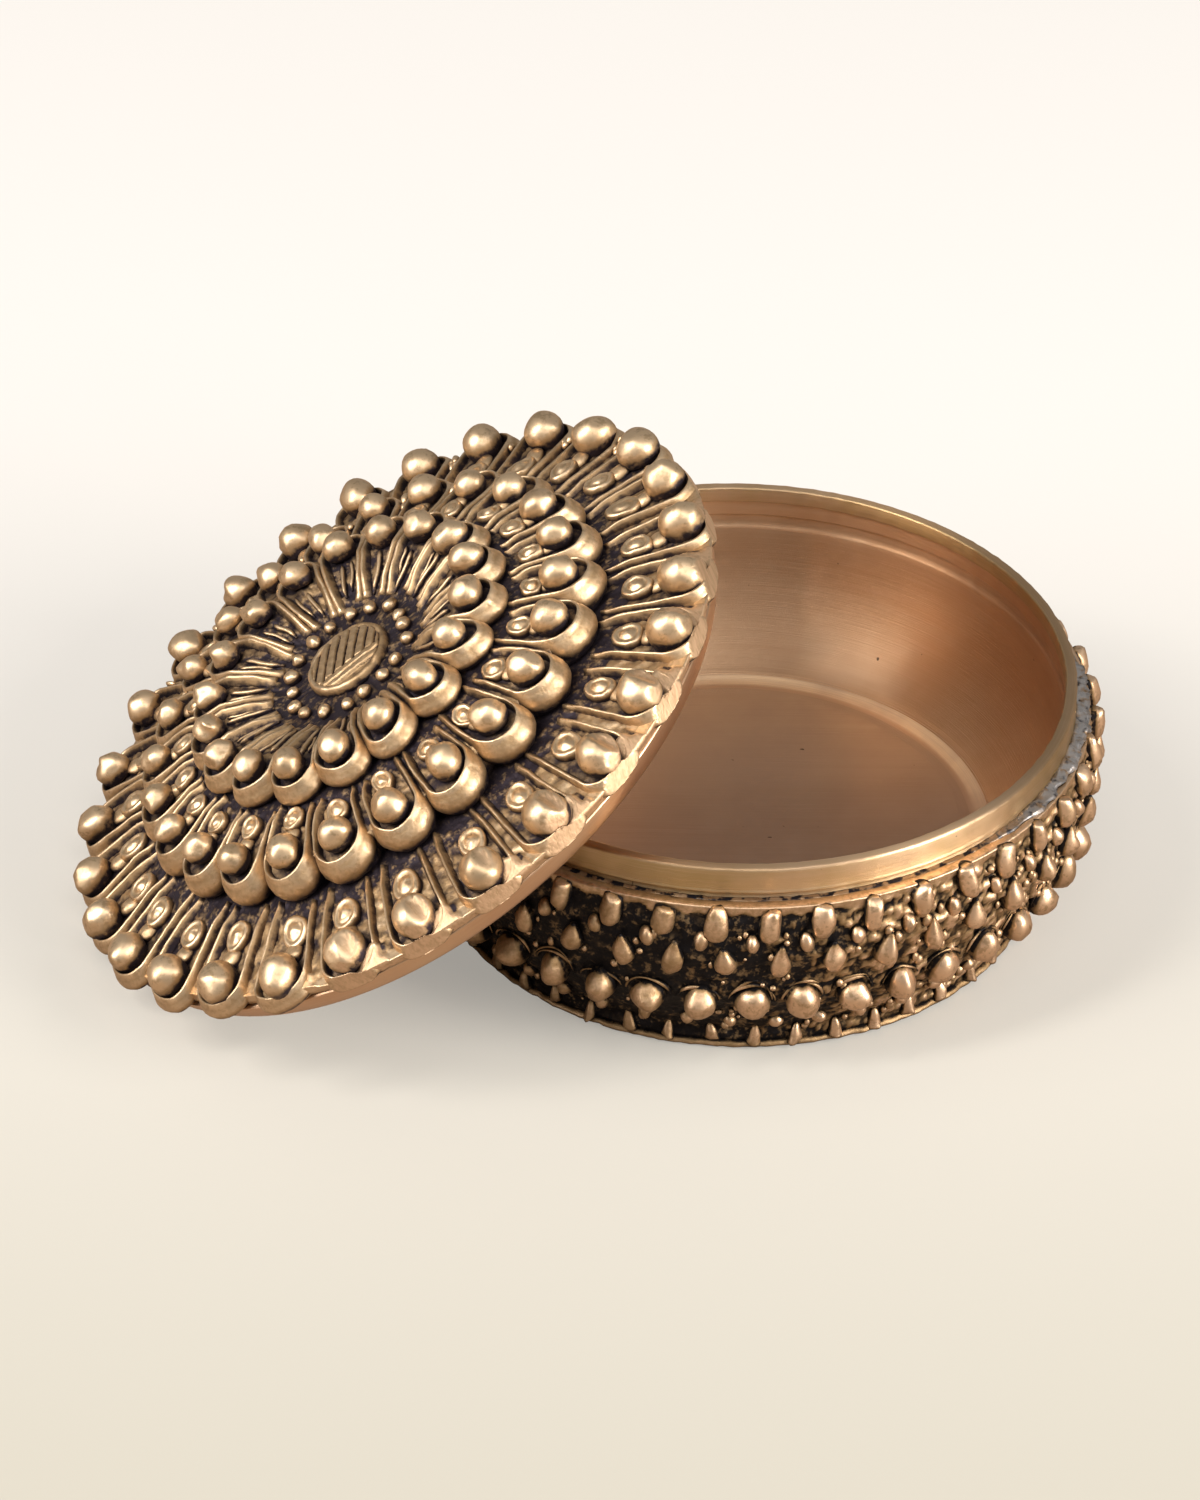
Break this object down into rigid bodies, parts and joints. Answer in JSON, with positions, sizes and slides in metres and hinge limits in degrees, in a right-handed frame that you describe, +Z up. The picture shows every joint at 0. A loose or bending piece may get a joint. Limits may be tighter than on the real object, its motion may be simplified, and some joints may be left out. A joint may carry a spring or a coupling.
{
  "type": "kumkum box",
  "caption": "Round brass kumkum box: open turned cup in a beaded ornamental shell, its domed, petal-tiered lid taken off and leaning against the side.",
  "frame": {"origin": "centre of the base's flat underside", "axes": "+Z up along the base's turning axis, +X from the leaning lid towards the open base, -Y towards the viewer"},
  "size_m": [0.1114, 0.0871, 0.0492],
  "materials": {
    "turned_brass": "lathe-turned, brushed, coppery tone",
    "dark_cast_brass": "cast, dark patina in the recesses, worn bright on the beads",
    "cast_brass": "cast, antique golden brown, dark patina in the recesses",
    "solder": "dull grey soft solder"
  },
  "bodies": {
    "base": {"inner_cup": "turned_brass", "outer_shell": "dark_cast_brass", "foot_ring": "dark_cast_brass", "base_plate": "turned_brass", "solder_seam": "solder", "lip_drops": "dark_cast_brass", "upper_beads": "dark_cast_brass", "teardrops": "dark_cast_brass", "large_beads": "dark_cast_brass", "hood_wires": "dark_cast_brass", "lower_beads": "dark_cast_brass", "foot_grains": "dark_cast_brass"},
    "lid": {"lid_seat_ring": "turned_brass", "lid_dome": "cast_brass", "lid_inner_plate": "turned_brass", "outer_petals": "cast_brass", "outer_beads": "cast_brass", "outer_studs": "cast_brass", "middle_tier": "cast_brass", "middle_petals": "cast_brass", "middle_beads": "cast_brass", "middle_studs": "cast_brass", "inner_tier": "cast_brass", "inner_petals": "cast_brass", "inner_beads": "cast_brass", "fan_wires": "cast_brass", "centre_grains": "cast_brass", "medallion_bezel": "cast_brass", "medallion_plate": "cast_brass"}
  },
  "joints": [
    {"name": "lid_lift", "type": "slide", "parent": "base", "child": "lid", "axis": [0, 0, 1], "range_m": [0, 0.06]}
  ]
}
